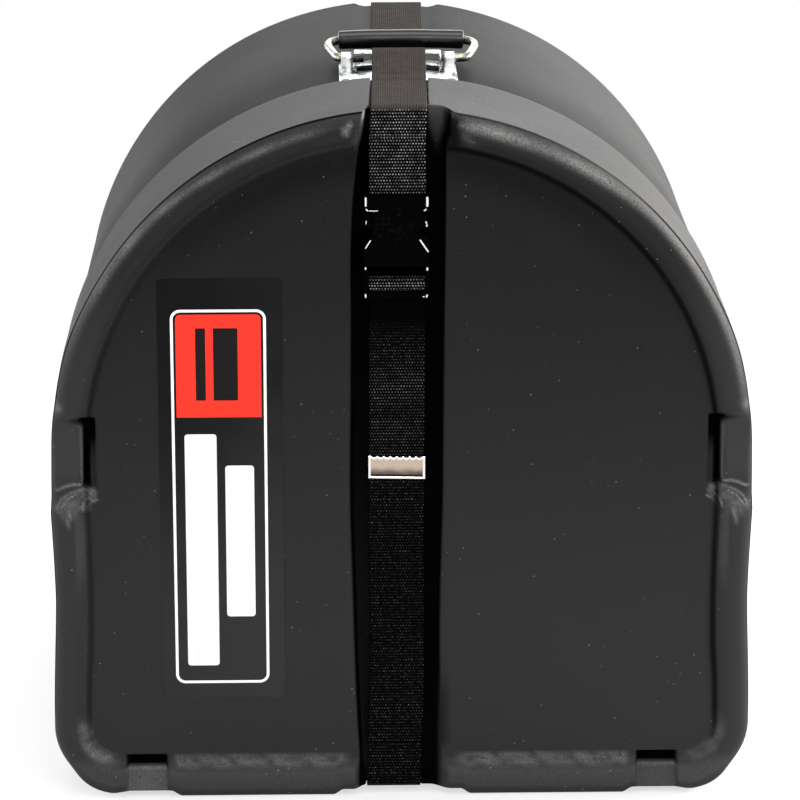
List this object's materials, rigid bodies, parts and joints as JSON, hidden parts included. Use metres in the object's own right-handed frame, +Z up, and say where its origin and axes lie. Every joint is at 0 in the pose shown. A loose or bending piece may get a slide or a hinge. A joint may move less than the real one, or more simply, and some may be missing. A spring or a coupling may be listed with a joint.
{
  "type": "bass drum case",
  "caption": "Black moulded drum case in two telescoping shells, closed by a webbing strap with a side-release buckle, with a folding steel handle on top.",
  "frame": {"origin": "on the floor under the middle of the case's bounding box", "axes": "+Z up, +Y from the lid's face towards the base's back, +X to the right seen from the lid"},
  "size_m": [0.632, 0.5, 0.6663],
  "materials": {
    "shell_plastic": "fine moulded grain, satin",
    "label_vinyl": "printed vinyl, satin",
    "webbing": "woven webbing",
    "buckle_plastic": "glossy moulded",
    "zinc_steel": "bright zinc plate",
    "grip_vinyl": "smooth moulded vinyl",
    "tip_nickel": "warm nickel plate"
  },
  "bodies": {
    "base": {"base_shell": "shell_plastic", "strap_crown_base": "webbing", "strap_back": "webbing", "strap_floor_base": "webbing", "handle_plate": "zinc_steel", "handle_rivet_front_left": "zinc_steel", "handle_rivet_front_right": "zinc_steel", "handle_rivet_back_left": "zinc_steel", "handle_rivet_back_right": "zinc_steel", "handle_washer_front_left": "zinc_steel", "handle_washer_front_right": "zinc_steel", "handle_washer_back_left": "zinc_steel", "handle_washer_back_right": "zinc_steel", "anchor_rivet_low": "zinc_steel", "anchor_rivet_high": "zinc_steel", "anchor_washer_low": "zinc_steel", "anchor_washer_high": "zinc_steel"},
    "lid": {"lid_shell": "shell_plastic", "label_card": "label_vinyl", "strap_crown_lid": "webbing", "strap_crown_span": "webbing", "strap_floor_lid": "webbing", "strap_floor_span": "webbing", "strap_front_loop": "webbing", "strap_front_lower": "webbing", "strap_tail": "webbing", "strap_tip": "tip_nickel", "buckle_female": "buckle_plastic"},
    "handle": {"handle_bail": "zinc_steel", "handle_grip": "grip_vinyl"},
    "buckle_plug": {"buckle_male": "buckle_plastic"},
    "prong_left": {"buckle_prong_left": "buckle_plastic"},
    "prong_right": {"buckle_prong_right": "buckle_plastic"}
  },
  "joints": [
    {"name": "lid_slide", "type": "slide", "parent": "base", "child": "lid", "axis": [0, -1, 0], "range_m": [0, 0.15], "deforming": ["strap_crown_span", "strap_floor_span"]},
    {"name": "handle_swing", "type": "hinge", "parent": "base", "child": "handle", "pos_m": [0, -0.048, 0.654], "axis": [1, 0, 0], "range_deg": [0, 95]},
    {"name": "buckle_release", "type": "slide", "parent": "lid", "child": "buckle_plug", "axis": [0, 0, 1], "range_m": [0, 0.04], "deforming": ["strap_front_loop"]},
    {"name": "prong_left_press", "type": "hinge", "parent": "buckle_plug", "child": "prong_left", "pos_m": [-0.0205, -0.2394, 0.5586], "axis": [0, -1, 0], "range_deg": [0, 7], "stiffness_Nm_per_rad": 1.5},
    {"name": "prong_right_press", "type": "hinge", "parent": "buckle_plug", "child": "prong_right", "pos_m": [0.0105, -0.2394, 0.5586], "axis": [0, 1, 0], "range_deg": [0, 7], "stiffness_Nm_per_rad": 1.5}
  ],
  "couplings": [
    {"joint": "prong_right_press", "follows": "prong_left_press", "ratio": 1}
  ]
}
